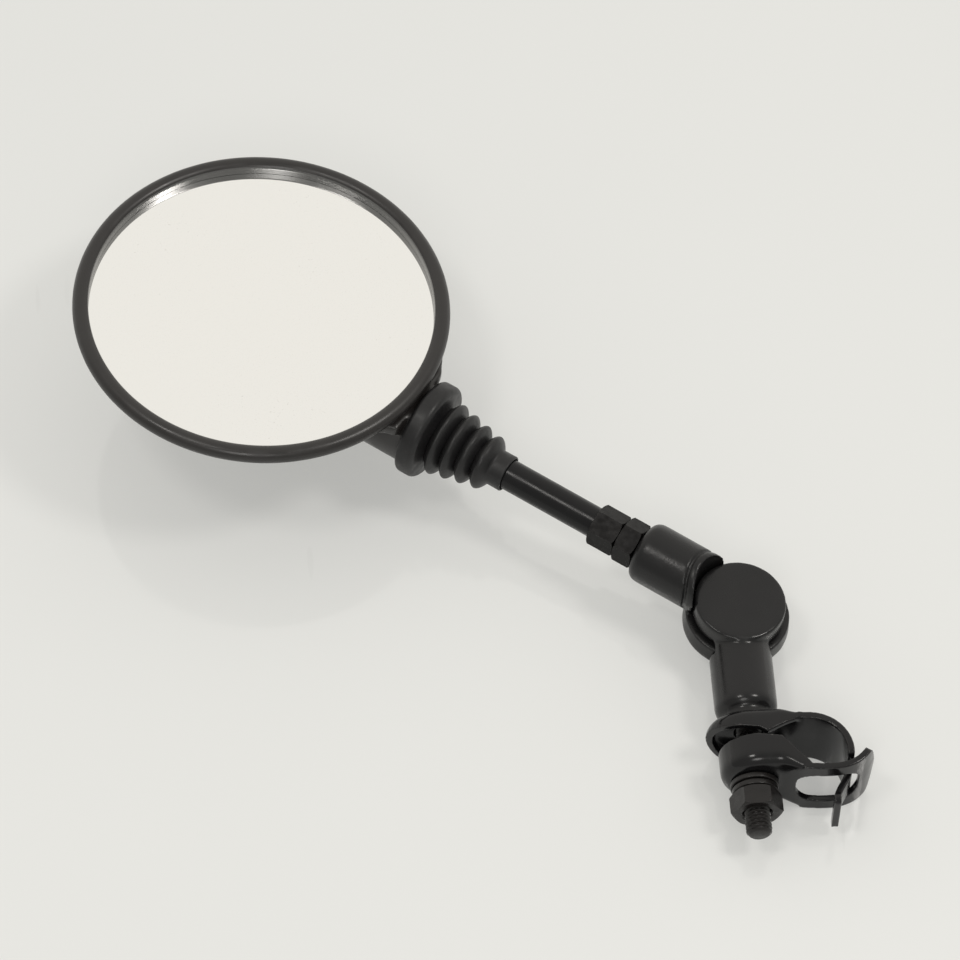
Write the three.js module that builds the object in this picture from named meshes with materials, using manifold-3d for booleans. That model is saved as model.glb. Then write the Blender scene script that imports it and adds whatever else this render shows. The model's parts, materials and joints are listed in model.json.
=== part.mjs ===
// A round handlebar mirror on a folding arm: a pressed two-jaw clamp for a 22 mm bar, a two-piece
// cast arm with a bolted knuckle, a steel stem with a ball end, a rubber boot and a mirror head.
// Millimetres. The origin is the centre of the handlebar bore, +Z runs along the handlebar, and
// +Y runs along the clamp stud from the clamp to the knuckle.
import * as THREE from "three";
import { mergeVertices } from "three/addons/utils/BufferGeometryUtils.js";
import Module from "manifold-3d";

const wasm = await Module();
wasm.setup();

// ---- Driving dimensions ---------------------------------------------------------------------

const GAP = 0.3; // clearance between pieces that touch

// Clamp
const BAR_RADIUS = 11.3; // inside of the rear jaw's ring, for a 22 mm handlebar
const SHEET = 2.1; // steel sheet of both jaws
const JAW_HALF_HEIGHT = 12.2; // half the width of the jaws along the handlebar
const STUD_X = -16.8; // the stud passes beside the handlebar
const STUD_RADIUS = 4; // M8
const STUD_END_Y = -21.7; // free end of the stud
const STUD_DEPTH = 16; // length of the stud inside the lower arm
const REAR_TAB = { y: 16.4, centreX: -18, bend: 3.5 }; // outer face of the rear jaw, where the arm seats
const FRONT_TAB = { y: -3.6, centreX: -14.6, bend: 4 }; // outer face of the front jaw, under the washers
const STRAP_Y = -6.6; // where the front jaw's strap crosses in front of the handlebar
const LIP_END = { x: 20.4, y: 2.2 }; // free end of the strap
const SLOT = { from: -4.2, to: 14.8, halfHeight: 7.3, corner: 5.5 };
const TONGUE_HALF_HEIGHT = 4.8; // tongue of the rear jaw, through the slot of the front jaw
const TEE_HALF_HEIGHT = 8.3; // cross bar at the tongue's end, taller than the slot
const TEE_CORNER = 2.3; // radius of its rounded ends

// Arm
const KNUCKLE_Y = 55.5; // knuckle axis, which crosses above the stud axis
const SWIVEL_REST = 4.5; // degrees that the arm is turned about the stud
const LOWER_ARM_RADIUS = 9.8;
const UPPER_ARM_RADIUS = 10;
const PARTING_Z = 3.8; // plane between the two knuckle discs, above the stud axis
const STEM_LIFT = 8.54; // stem axis above the stud axis
const TOP_THICKNESS = 6.3;
const BOTTOM_THICKNESS = 7.4;
const DISC_GAP = 0.57; // each disc stays this far from the parting plane
const TOP_DISC = { face: 14.4, root: 14.5 }; // radii of the lower arm's disc
const BOTTOM_DISC = { face: 16.9, root: 16.3 }; // radii of the upper arm's disc
const SCOOP_GAP = 0.45; // room round each disc
const GROOVE = { from: 17.1, to: 18.2, depth: 0.8 }; // beside the rim of the upper arm's scoop
const BEND_REST = 54.76; // degrees between the stem and the straight arm
const UPPER_ARM_END = 35.8; // from the knuckle axis, along the stem
const BOLT_RADIUS = 3; // M6 knuckle bolt

// Stem, measured from the knuckle axis
const LOCK_NUT = { from: 36.2, to: 42.7, flats: 13 };
const SLEEVE = { from: 43.05, to: 52.2, flats: 12 };
const ROD_RADIUS = 5;
const ROD_END = 108;
const BALL_CENTRE = 124;
const BALL_RADIUS = 7;
const SHANK_RADIUS = 4;

// Boot, measured from the knuckle axis
const CUFF = { from: 84.6, to: 90.2, radius: 6 };
const RIBS = [
  { at: 92.5, radius: 9.2 },
  { at: 97.7, radius: 10.2 },
  { at: 102.8, radius: 11.3 },
  { at: 107.7, radius: 12.3 },
];
const RIB_DEPTH = 2.8;
const BOOT_WALL = 1.4;
const COLLAR = { from: 111.3, to: 117.8, radius: 16 };

// Head, measured from the ball centre: X away from the knuckle, Z towards the mirror face
const MIRROR_CENTRE = 54.7;
const BEAD = { centre: 57.3, height: 15.56, radius: 2.75 }; // round section of the bezel
const BEZEL_INNER = 55.05;
const GLASS = { radius: 56.2, top: 14.2, thickness: 1.8 };
const HOUSING_RIM = { radius: 57.8, z: 12.1 };
const HOUSING_DEPTH = 26; // rim to the middle of the domed back
const HOUSING_WALL = 2.2;
const NECK_RADIUS = 13.5;
const NECK_END = -10.2;
const SOCKET_RADIUS = 9;
const SOCKET_END = 20;
const SOCKET_TOP = 10.3; // the socket block is flat here, under the foam pad
const SCREW = { y: 10.7, z: 3.6 }; // retainer screws, one on each side of the socket

// ---- Solids ---------------------------------------------------------------------------------

// A closed three.js geometry as a manifold-3d solid.
function solid(geometry) {
  const bare = geometry.index ? geometry.toNonIndexed() : geometry.clone();
  bare.deleteAttribute("normal");
  bare.deleteAttribute("uv");
  const merged = mergeVertices(bare, 1e-4);
  return new wasm.Manifold(
    new wasm.Mesh({
      numProp: 3,
      vertProperties: merged.attributes.position.array,
      triVerts: new Uint32Array(merged.index.array),
    }),
  );
}

// A manifold-3d solid as a three.js geometry.
function geometryOf(body) {
  const mesh = body.getMesh();
  const geometry = new THREE.BufferGeometry();
  geometry.setAttribute("position", new THREE.BufferAttribute(mesh.vertProperties, 3));
  geometry.setIndex(new THREE.BufferAttribute(mesh.triVerts, 1));
  geometry.computeVertexNormals();
  return geometry;
}

function radians(degrees) {
  return THREE.MathUtils.degToRad(degrees);
}

// Points on an arc, from one angle to another in degrees.
function arc(cx, cy, radius, from, to, steps) {
  return Array.from({ length: steps + 1 }, (_, i) => {
    const angle = radians(from + ((to - from) * i) / steps);
    return [cx + radius * Math.cos(angle), cy + radius * Math.sin(angle)];
  });
}

function extruded(points, depth) {
  const shape = new THREE.Shape(points.map(([x, y]) => new THREE.Vector2(x, y)));
  return new THREE.ExtrudeGeometry(shape, { depth, bevelEnabled: false });
}

// An outline in the XY plane, made solid between two heights.
function slab(points, z0, z1) {
  return solid(extruded(points, z1 - z0).translate(0, 0, z0));
}

// An outline in the XZ plane, made solid between two Y values.
function panel(points, y0, y1) {
  return solid(extruded(points, y1 - y0).rotateX(Math.PI / 2).translate(0, y1, 0));
}

// A profile of [position along the axis, radius] pairs, turned about the X, Y or Z axis.
function turned(axis, profile, segments = 36) {
  const points = profile.map(([along, radius]) => new THREE.Vector2(radius, along));
  const geometry = new THREE.LatheGeometry(points, segments);
  if (axis === "x") geometry.rotateZ(-Math.PI / 2);
  if (axis === "z") geometry.rotateX(Math.PI / 2);
  return solid(geometry);
}

// A plain cylinder.
function rod(axis, from, to, radius, segments = 36) {
  return turned(axis, [[from, 0], [from, radius], [to, radius], [to, 0]], segments);
}

// A flat ring with a rectangular section.
function ring(axis, from, to, inner, outer, segments = 36) {
  return turned(axis, [[from, inner], [from, outer], [to, outer], [to, inner], [from, inner]], segments);
}

// A cylinder with a rounded edge at either end; a round of 0 leaves the edge sharp.
function roundedRod(axis, from, to, radius, fromRound, toRound, segments = 36) {
  const low = fromRound ? arc(from + fromRound, radius - fromRound, fromRound, 180, 90, 4) : [[from, radius]];
  const high = toRound ? arc(to - toRound, radius - toRound, toRound, 90, 0, 4) : [[to, radius]];
  return turned(axis, [[from, 0], ...low, ...high, [to, 0]], segments);
}

// A hexagonal prism along an axis, with its corners chamfered at both ends.
function hexagon(axis, from, to, flats) {
  const corner = flats / Math.sqrt(3);
  const chamfer = (corner - flats / 2) * 0.6;
  const cone = [
    [from, 0],
    [from, corner - 1.7 * chamfer],
    [from + chamfer, corner],
    [to - chamfer, corner],
    [to, corner - 1.7 * chamfer],
    [to, 0],
  ];
  return turned(axis, [[from, 0], [from, corner], [to, corner], [to, 0]], 6).intersect(turned(axis, cone));
}

// ---- Clamp ----------------------------------------------------------------------------------

// Offsets a plan line sideways; positive is to the left of its direction.
function offset(line, distance) {
  return line.map(([x, y], i) => {
    const [ax, ay] = line[Math.max(i - 1, 0)];
    const [bx, by] = line[Math.min(i + 1, line.length - 1)];
    const length = Math.hypot(bx - ax, by - ay);
    return [x - ((by - ay) / length) * distance, y + ((bx - ax) / length) * distance];
  });
}

// A cubic Bezier curve through the plane, without its first point.
function curve(a, b, c, d, steps) {
  const line = new THREE.CubicBezierCurve(...[a, b, c, d].map(([x, y]) => new THREE.Vector2(x, y)));
  return line.getPoints(steps).slice(1).map((point) => [point.x, point.y]);
}

// Sheet metal bent along a plan line. The half heights are those of the last points of the line;
// the rest is as wide as the jaws.
function bentSheet(line, endHeights = []) {
  const left = offset(line, SHEET / 2);
  const right = offset(line, -SHEET / 2);
  return lofted(line.map((_, i) => {
    const half = endHeights[i - line.length + endHeights.length] ?? JAW_HALF_HEIGHT;
    return [
      { x: right[i][0], y: right[i][1], z: half, along: 0 },
      { x: right[i][0], y: right[i][1], z: -half, along: 0 },
      { x: left[i][0], y: left[i][1], z: -half, along: SHEET },
      { x: left[i][0], y: left[i][1], z: half, along: SHEET },
    ];
  }));
}

// A closed loop of points, given for each station along a path, skinned into one solid.
function lofted(loops) {
  const count = loops[0].length;
  const faces = [];
  for (let row = 0; row < loops.length - 1; row += 1) {
    for (let i = 0; i < count; i += 1) {
      const a = row * count + i;
      const b = row * count + ((i + 1) % count);
      faces.push(a, b, b + count, a, b + count, a + count);
    }
  }
  const flat = loops[0].map((point) => new THREE.Vector2(point.along, point.z));
  const last = (loops.length - 1) * count;
  const clockwise = THREE.ShapeUtils.isClockWise(flat);
  for (const [a, p, q] of THREE.ShapeUtils.triangulateShape(flat, [])) {
    const [b, c] = clockwise ? [q, p] : [p, q];
    faces.push(a, c, b, last + a, last + b, last + c);
  }
  const geometry = new THREE.BufferGeometry();
  const positions = loops.flat().flatMap(({ x, y, z }) => [x, y, z]);
  geometry.setAttribute("position", new THREE.Float32BufferAttribute(positions, 3));
  geometry.setIndex(faces);
  return solid(geometry);
}

// Section of a jaw across its length: a web with a flange bent inwards at each edge.
function channelSection(bend, depth) {
  const inner = Math.max(bend - SHEET, 0.2);
  const insideCorner = JAW_HALF_HEIGHT - SHEET - inner;
  const upper = [[depth, JAW_HALF_HEIGHT], ...arc(bend, JAW_HALF_HEIGHT - bend, bend, 90, 180, 5)];
  const lower = upper.map(([along, z]) => [along, -z]).reverse();
  const insideBend = arc(SHEET + inner, insideCorner, inner, 90, 180, 4);
  const insideUpper = [[depth, JAW_HALF_HEIGHT - SHEET], ...insideBend].reverse();
  const insideLower = insideUpper.map(([along, z]) => [along, -z]).reverse();
  return [...upper, ...lower, ...insideLower, ...insideUpper];
}

// The pressed tab of a jaw: a channel that follows the outer line, closed by a half round end.
function pressedTab(tab, outerLine, side, depth) {
  const line = [[tab.centreX - 0.02, tab.y], ...outerLine];
  const loops = line.map(([x, y], i) => {
    const [ax, ay] = line[Math.max(i - 1, 0)];
    const [bx, by] = line[Math.min(i + 1, line.length - 1)];
    const length = Math.hypot(bx - ax, by - ay);
    const inward = [(-side * (by - ay)) / length, (side * (bx - ax)) / length];
    const fade = Math.max(i - 1, 0) / (line.length - 2);
    const bend = tab.bend + (0.3 - tab.bend) * fade;
    return channelSection(bend, depth).map(([along, z]) => ({
      x: x + inward[0] * along,
      y: y + inward[1] * along,
      z,
      along,
    }));
  });
  const channel = lofted(side > 0 ? loops : loops.map((loop) => [...loop].reverse()));
  const leftHalf = slab([[-60, -40], [tab.centreX, -40], [tab.centreX, 40], [-60, 40]], -20, 20);
  return cup(tab, side, depth).intersect(leftHalf).add(channel);
}

// A round cup about the Y axis, open towards the other jaw.
function cup(tab, side, depth) {
  const R = JAW_HALF_HEIGHT;
  const bendLine = (radius) =>
    arc(0, 0, 1, 0, 90, 5).map(([c, s]) => [tab.y + side * (tab.bend - radius * c), R - tab.bend + radius * s]);
  const open = tab.y + side * depth;
  const outer = [[tab.y, 0], ...bendLine(tab.bend), [open, R]];
  const inner = [[open, R - SHEET], ...bendLine(tab.bend - SHEET).reverse(), [tab.y + side * SHEET, 0]];
  const profile = [...outer, ...inner];
  return turned("y", side > 0 ? profile : profile.reverse()).translate(tab.centreX, 0, 0);
}

// Half of the handlebar ring, a cupped tab round the stud, and a tongue with a T-shaped hook.
function rearJaw() {
  const middle = BAR_RADIUS + SHEET / 2;
  const outerRadius = BAR_RADIUS + SHEET;
  const shoulder = [
    [-9.5, REAR_TAB.y],
    ...curve([-9.5, REAR_TAB.y], [-6.5, REAR_TAB.y], [-4.5, outerRadius + 0.2], [-0.5, outerRadius], 6),
  ];
  const ringEnd = [middle * Math.cos(radians(25)), -middle * Math.sin(radians(25))];
  const hook = curve(ringEnd, [9.4, -9.2], [6.9, -10.4], [7, -16.3], 7);
  const hoop = arc(0, 0, middle, 92, -25, 14);
  const band = bentSheet([...offset(shoulder, -SHEET / 2).slice(5, -1), ...hoop, ...hook]);
  const flange = [
    [-34, 14.6],
    [-29.3, 12.6],
    [-26.7, 11.4],
    [-23.4, 10.4],
    [-19.4, 9.8],
    [-14.7, 9.1],
    [-12.3, 7.4],
    [-9.1, 8.9],
    [-6.1, 10.3],
    [-0.7, 12.1],
    [-0.5, 30],
    [-34, 30],
  ];
  const tab = pressedTab(REAR_TAB, shoulder, -1, 10).intersect(slab(flange, -20, 20));
  return band.intersect(hookOutline()).add(tab).subtract(studHole(STUD_RADIUS + 0.5));
}

// Side view of the rear jaw's band: full width, narrowed to the tongue, and widened to the T.
function hookOutline() {
  const upper = [
    [20, JAW_HALF_HEIGHT + 0.01],
    [-0.2, JAW_HALF_HEIGHT + 0.01],
    ...arc(-0.2, JAW_HALF_HEIGHT - 1.8, 1.8, 100, 180, 4),
    ...arc(-3.8, TONGUE_HALF_HEIGHT + 1.8, 1.8, 0, -90, 4),
    [-11.7, TONGUE_HALF_HEIGHT],
    ...arc(-14.3, TEE_HALF_HEIGHT - TEE_CORNER, TEE_CORNER, 10, 180, 8),
  ];
  const lower = upper.map(([y, z]) => [y, -z]).reverse();
  return solid(extruded([...upper, ...lower], 60).rotateX(Math.PI / 2).rotateZ(Math.PI / 2).translate(-30, 0, 0));
}

// The other half of the clamp: a cupped tab round the stud and a slotted strap with a raised lip.
function frontJaw() {
  const tabLine = [
    [-9.5, FRONT_TAB.y],
    ...curve([-9.5, FRONT_TAB.y], [-6.5, FRONT_TAB.y - 0.3], [-3.5, STRAP_Y], [1, STRAP_Y], 7),
  ];
  const lipLine = curve([1, STRAP_Y], [10, STRAP_Y - 1.2], [16.5, -6.2], [LIP_END.x, LIP_END.y], 28);
  const flange = [
    [-34, 6.6],
    [-21.9, 6.9],
    [-15.2, 6.9],
    [-7.9, 5.8],
    [-0.1, -3.9],
    [0.9, -20],
    [-34, -20],
  ].reverse();
  const tab = pressedTab(FRONT_TAB, tabLine, 1, 11).intersect(slab(flange, -20, 20));
  const lipHeights = arc(0, 0, 1, 0, 84, 5).map(([across]) => JAW_HALF_HEIGHT * across);
  const strap = bentSheet(offset([...tabLine.slice(-3), ...lipLine], SHEET / 2), lipHeights);
  const slot = panel(roundedBox(SLOT.from, SLOT.to, SLOT.halfHeight, SLOT.corner), -20, -1);
  return tab.add(strap).subtract(slot).subtract(studHole(STUD_RADIUS + 1.1));
}

// Outline of a rectangle with rounded corners, level with the axis.
function roundedBox(x0, x1, halfHeight, corner) {
  const up = halfHeight - corner;
  return [
    ...arc(x1 - corner, up, corner, 0, 90, 5),
    ...arc(x0 + corner, up, corner, 90, 180, 5),
    ...arc(x0 + corner, -up, corner, 180, 270, 5),
    ...arc(x1 - corner, -up, corner, 270, 360, 5),
  ];
}

// A hole for the stud through either jaw.
function studHole(radius) {
  return rod("y", -30, 30, radius, 24).translate(STUD_X, 0, 0);
}

// A lock washer: a flat ring with one cut.
function splitRing(axis, from, to, inner, outer) {
  const cut = slab([[0, -0.5], [outer + 1, -0.5], [outer + 1, 0.5], [0, 0.5]], from - 1, to + 1);
  const turnedCut = axis === "y" ? cut.translate(0, 0, -(from + to) / 2).rotate([90, 0, 0]) : cut;
  const placedCut = axis === "y" ? turnedCut.translate(0, (from + to) / 2, 0) : turnedCut;
  return ring(axis, from, to, inner, outer).subtract(placedCut);
}

function clampWasher(from, to, outer) {
  return ring("y", from, to, STUD_RADIUS + GAP, outer).translate(STUD_X, 0, 0);
}

function clampSpringWasher(from, to) {
  return splitRing("y", from, to, STUD_RADIUS + GAP, 7).translate(STUD_X, 0, 0);
}

function clampNut(from, to) {
  const bore = rod("y", from - 1, to + 1, STUD_RADIUS + GAP);
  return hexagon("y", from, to, 14).rotate([0, 30, 0]).subtract(bore).translate(STUD_X, 0, 0);
}

// ---- Arm, in the swivel frame: origin on the stud axis under the knuckle ---------------------

const discTop = PARTING_Z + DISC_GAP + TOP_THICKNESS;
const discBottom = PARTING_Z - DISC_GAP - BOTTOM_THICKNESS;
const armEndY = REAR_TAB.y + GAP - KNUCKLE_Y; // face of the boss that seats on the rear jaw
const shoulderY = armEndY + 2.8; // the boss widens to the full tube here

// A cast tube for the stud, with the upper half of the knuckle at its end.
function lowerArm() {
  const boss = rod("y", armEndY, shoulderY + 1, LOWER_ARM_RADIUS - 2.2);
  const tube = roundedRod("y", shoulderY, 0, LOWER_ARM_RADIUS, 3, 0).add(boss);
  const scoop = rod("z", -20, PARTING_Z + DISC_GAP, BOTTOM_DISC.face + SCOOP_GAP);
  const low = PARTING_Z + DISC_GAP;
  const disc = turned("z", [
    [low, 0],
    [low, TOP_DISC.root],
    [discTop - 0.5, TOP_DISC.face],
    [discTop, TOP_DISC.face - 0.5],
    [discTop, 0],
  ], 48);
  const studBore = rod("y", armEndY - 1, armEndY + STUD_DEPTH + GAP, STUD_RADIUS + GAP, 24);
  const boltBore = rod("z", PARTING_Z, discTop - 1.4, BOLT_RADIUS + GAP, 24);
  return tube.subtract(scoop).add(disc).subtract(studBore).subtract(boltBore);
}

// The clamp stud, held in the lower arm and passing through both jaws.
function clampStud() {
  const end = STUD_END_Y - KNUCKLE_Y;
  return turned("y", [
    [end, 0],
    [end, STUD_RADIUS - 1],
    [end + 1, STUD_RADIUS],
    [armEndY + STUD_DEPTH, STUD_RADIUS],
    [armEndY + STUD_DEPTH, 0],
  ], 24);
}

// Bolt through the lower disc into the upper one, with its head below.
const boltStack = {
  washerTop: discBottom - GAP,
  washer: 1.2,
  springWasher: 1.2,
  head: 3.6,
};
const boltSpringTop = boltStack.washerTop - boltStack.washer - GAP;
const boltHeadTop = boltSpringTop - boltStack.springWasher - GAP;

function knuckleBolt() {
  const shank = rod("z", boltHeadTop - 1, discTop - 1.7, BOLT_RADIUS, 24);
  return hexagon("z", boltHeadTop - boltStack.head, boltHeadTop, 10).add(shank);
}

function knuckleWasher() {
  const top = boltStack.washerTop;
  return ring("z", top - boltStack.washer, top, BOLT_RADIUS + GAP, 6.2);
}

function knuckleSpringWasher() {
  return splitRing("z", boltSpringTop - boltStack.springWasher, boltSpringTop, BOLT_RADIUS + GAP, 5.4);
}

// Thin friction ring between the two discs.
function knuckleFrictionWasher() {
  const half = DISC_GAP - GAP;
  return ring("z", PARTING_Z - half, PARTING_Z + half, BOLT_RADIUS + 0.6, 12);
}

// ---- Stem frame: origin on the knuckle axis, X along the stem --------------------------------

// A cast tube for the stem, with the lower half of the knuckle at its end, a groove beside the
// scoop for the upper disc, and a low stop wall on one side of that disc.
function upperArm() {
  const high = PARTING_Z - DISC_GAP - STEM_LIFT;
  const low = discBottom - STEM_LIFT;
  const tube = roundedRod("x", 0, UPPER_ARM_END, UPPER_ARM_RADIUS, 0, 3);
  const scoop = rod("z", high, 20, TOP_DISC.root + SCOOP_GAP, 48);
  const core = rod("x", -1, UPPER_ARM_END, UPPER_ARM_RADIUS - GROOVE.depth);
  const groove = ring("z", high + 1, 20, GROOVE.from, GROOVE.to, 48).subtract(core);
  const disc = turned("z", [
    [low, 0],
    [low, BOTTOM_DISC.face - 1.6],
    [low + 1.6, BOTTOM_DISC.face],
    [high, BOTTOM_DISC.root],
    [high, 0],
  ], 48);
  const stemBore = rod("x", 18.5, UPPER_ARM_END + 1, STUD_RADIUS + GAP, 24);
  const boltBore = rod("z", low - 1, high + 1, BOLT_RADIUS + GAP + 0.1, 24);
  const wall = ring("z", high - 1, high + 3, TOP_DISC.root + SCOOP_GAP, BOTTOM_DISC.root + 0.4, 48);
  const sector = slab([[0, 0], [40, -28], [40, -60], [2, -40]], high - 2, high + 4);
  const stop = wall.intersect(sector);
  const body = tube.subtract(scoop).subtract(groove).add(disc).add(stop);
  return body.subtract(stemBore).subtract(boltBore);
}

function stemStud() {
  return rod("x", 20, SLEEVE.from + 3.1, STUD_RADIUS, 24);
}

function lockNut() {
  const bore = rod("x", LOCK_NUT.from - 1, LOCK_NUT.to + 1, STUD_RADIUS + GAP, 24);
  return hexagon("x", LOCK_NUT.from, LOCK_NUT.to, LOCK_NUT.flats).subtract(bore);
}

// Hexagonal sleeve that joins the stud to the rod and takes a spanner.
function hexSleeve() {
  const rodStart = SLEEVE.from + 3.4;
  const studBore = rod("x", SLEEVE.from - 1, rodStart + 0.1, STUD_RADIUS + GAP, 24);
  const rodBore = rod("x", rodStart, SLEEVE.to + 1, ROD_RADIUS + GAP, 24);
  return hexagon("x", SLEEVE.from, SLEEVE.to, SLEEVE.flats).subtract(studBore).subtract(rodBore);
}

function stemRod() {
  return ring("x", SLEEVE.from + 3.7, ROD_END, SHANK_RADIUS - 0.6, ROD_RADIUS, 28);
}

// The ball with the shank that is pressed into the rod.
function ballStud() {
  const neckAngle = 180 - THREE.MathUtils.radToDeg(Math.asin(SHANK_RADIUS / BALL_RADIUS));
  return turned("x", [
    [ROD_END - 12, 0],
    [ROD_END - 12, SHANK_RADIUS - 0.9],
    [ROD_END + GAP, SHANK_RADIUS - 0.9],
    [ROD_END + GAP, SHANK_RADIUS],
    ...arc(BALL_CENTRE, 0, BALL_RADIUS, neckAngle, 0, 14),
  ], 32);
}

// The rubber boot: a cuff on the rod, four ribs and a collar over the neck of the housing.
function boot() {
  const valleys = RIBS.slice(1).map((rib, i) => ({
    at: (rib.at + RIBS[i].at) / 2,
    radius: (rib.radius + RIBS[i].radius) / 2 - RIB_DEPTH,
  }));
  const first = RIBS[0];
  const last = RIBS[RIBS.length - 1];
  const neckFace = BALL_CENTRE + NECK_END - GAP;
  const waist = { at: (last.at + COLLAR.from) / 2 + 0.2, radius: last.radius - RIB_DEPTH + 0.6 };
  const folds = RIBS.flatMap((rib, i) => {
    const crest = [
      [rib.at - 0.9, rib.radius - 0.5],
      [rib.at, rib.radius],
      [rib.at + 0.9, rib.radius - 0.5],
    ];
    const valley = valleys[i] ?? waist;
    return [...crest, [valley.at, valley.radius]];
  });
  const outside = [
    [CUFF.from, CUFF.radius],
    [CUFF.from + 0.5, CUFF.radius + 0.4],
    [CUFF.from + 1.2, CUFF.radius],
    [CUFF.to, CUFF.radius],
    ...folds,
    [COLLAR.from, COLLAR.radius - 1.8],
    ...arc(COLLAR.from + 1.8, COLLAR.radius - 1.8, 1.8, 160, 90, 3),
    ...arc(COLLAR.to - 1.5, COLLAR.radius - 1.5, 1.5, 90, 0, 3),
  ];
  const innerFolds = [waist, ...valleys.reverse()].flatMap((valley, i) => {
    const rib = RIBS[RIBS.length - 1 - i];
    return [[valley.at, valley.radius - BOOT_WALL], [rib.at, rib.radius - BOOT_WALL]];
  });
  const inside = [
    [COLLAR.to, NECK_RADIUS + GAP],
    [neckFace, NECK_RADIUS + GAP],
    [neckFace, waist.radius - 0.6],
    ...innerFolds,
    [first.at - 1.6, ROD_RADIUS + GAP],
    [CUFF.from, ROD_RADIUS + GAP],
    [CUFF.from, CUFF.radius],
  ];
  const bezelRoom = rod("z", HOUSING_RIM.z + 0.2, 30, BEAD.centre + BEAD.radius + 0.4, 60)
    .translate(BALL_CENTRE + MIRROR_CENTRE, 0, 0);
  return turned("x", [...outside, ...inside], 32).subtract(bezelRoom);
}

// ---- Head frame: origin at the ball centre ---------------------------------------------------

// A dome with its rim at the housing's rim, moved so that the mirror centre is in its place.
function dome(rimRadius, depth, top, segments) {
  const sphere = (rimRadius ** 2 + depth ** 2) / (2 * depth);
  const centre = HOUSING_RIM.z - depth + sphere;
  const spread = THREE.MathUtils.radToDeg(Math.asin(rimRadius / sphere));
  const profile = arc(centre, 0, sphere, 180, 180 - spread, 12);
  return turned("z", [...profile, [top, rimRadius], [top, 0]], segments).translate(MIRROR_CENTRE, 0, 0);
}

// Half an ellipse from the wide end of a nose to its tip, as profile points.
function nose(start, length, radius, steps) {
  return arc(0, 0, 1, 90, 0, steps).map(([along, up]) => [start + along * length, up * radius]);
}

// The domed back with the neck and the ball socket moulded in.
function housing() {
  const noseStart = SOCKET_END + 2;
  const noseLength = 26;
  const insideRadius = HOUSING_RIM.radius - 2.9;
  const shell = dome(HOUSING_RIM.radius, HOUSING_DEPTH, HOUSING_RIM.z + 0.01, 60);
  const cavity = dome(insideRadius, HOUSING_DEPTH - HOUSING_WALL, HOUSING_RIM.z + 5, 60);
  const neck = turned("x", [[NECK_END, 0], [NECK_END, NECK_RADIUS], ...nose(noseStart, noseLength, NECK_RADIUS, 8)]);
  const pocketRadius = NECK_RADIUS - HOUSING_WALL;
  const pocketNose = nose(noseStart, noseLength - HOUSING_WALL, pocketRadius, 8);
  const pocket = turned("x", [[SOCKET_END, 0], [SOCKET_END, pocketRadius], ...pocketNose]);
  const bowlRoom = rod("z", SOCKET_TOP, 30, insideRadius, 60).translate(MIRROR_CENTRE, 0, 0);
  const socketBlock = rod("x", NECK_END, SOCKET_END, NECK_RADIUS).subtract(bowlRoom);
  const bezelRoom = rod("z", HOUSING_RIM.z, 30, BEAD.centre + BEAD.radius + GAP, 60)
    .translate(MIRROR_CENTRE, 0, 0);
  const bore = rod("x", NECK_END + 3, SOCKET_END + 1, SOCKET_RADIUS);
  const mouth = rod("x", NECK_END - 1, NECK_END + 3.1, SOCKET_RADIUS - 0.4);
  return shell
    .add(neck)
    .add(neckFairing())
    .subtract(bezelRoom)
    .subtract(cavity.subtract(socketBlock))
    .subtract(pocket)
    .subtract(bore)
    .subtract(mouth)
    .subtract(screwPair(9.6, SOCKET_END + 1, 1.8));
}

// Web between the neck and the rim. It is wide on the side that faces out when the arm is folded
// and a narrow fillet on the other side.
function neckFairing() {
  const outline = [
    [7, -30],
    [1.6, -26.5],
    [-1, -20.5],
    [-3.4, -16],
    [-5.2, -(NECK_RADIUS - 0.3)],
    [-5.2, NECK_RADIUS - 0.3],
    [-2, 14.4],
    [2, 16.5],
    [9, 22],
  ].reverse();
  return slab(outline, HOUSING_RIM.z - 4.5, HOUSING_RIM.z);
}

// A cylinder at each retainer screw, one on each side of the socket.
function screwPair(from, to, radius) {
  const one = rod("x", from, to, radius, 16);
  return one.translate(0, SCREW.y, SCREW.z).add(one.translate(0, -SCREW.y, SCREW.z));
}

// Nylon ring that keeps the ball from pulling out of the neck.
function ballSeat() {
  const bowl = BALL_RADIUS + GAP;
  const throat = 122;
  return turned("x", [
    [NECK_END + 3 + GAP, 7.3],
    [NECK_END + 3 + GAP, SOCKET_RADIUS - GAP],
    [-GAP, SOCKET_RADIUS - GAP],
    ...arc(0, 0, bowl, 92.4, throat, 6),
    [NECK_END + 3 + GAP, 7.3],
  ]);
}

// Cup that the spring presses against the ball.
function pressureCup() {
  const bowl = BALL_RADIUS + GAP;
  return turned("x", [
    ...arc(0, 0, bowl, 0, 83, 10),
    [0.9, SOCKET_RADIUS - GAP],
    [9, SOCKET_RADIUS - GAP],
    [9, 0],
  ]);
}

// Compression spring with its coils along the neck.
function ballSpring() {
  const coilRadius = 5.6;
  const wire = 0.7;
  const turns = 3.5;
  const length = SOCKET_END - 2.2 - 9 - 2 * GAP - 2 * wire;
  class Helix extends THREE.Curve {
    getPoint(t, target = new THREE.Vector3()) {
      const angle = t * turns * 2 * Math.PI;
      const x = 9 + GAP + wire + t * length;
      return target.set(x, coilRadius * Math.cos(angle), coilRadius * Math.sin(angle));
    }
  }
  const section = new THREE.Shape(arc(0, 0, wire, 0, 300, 5).map(([x, y]) => new THREE.Vector2(x, y)));
  return solid(new THREE.ExtrudeGeometry(section, { steps: 56, extrudePath: new Helix(), bevelEnabled: false }));
}

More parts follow.
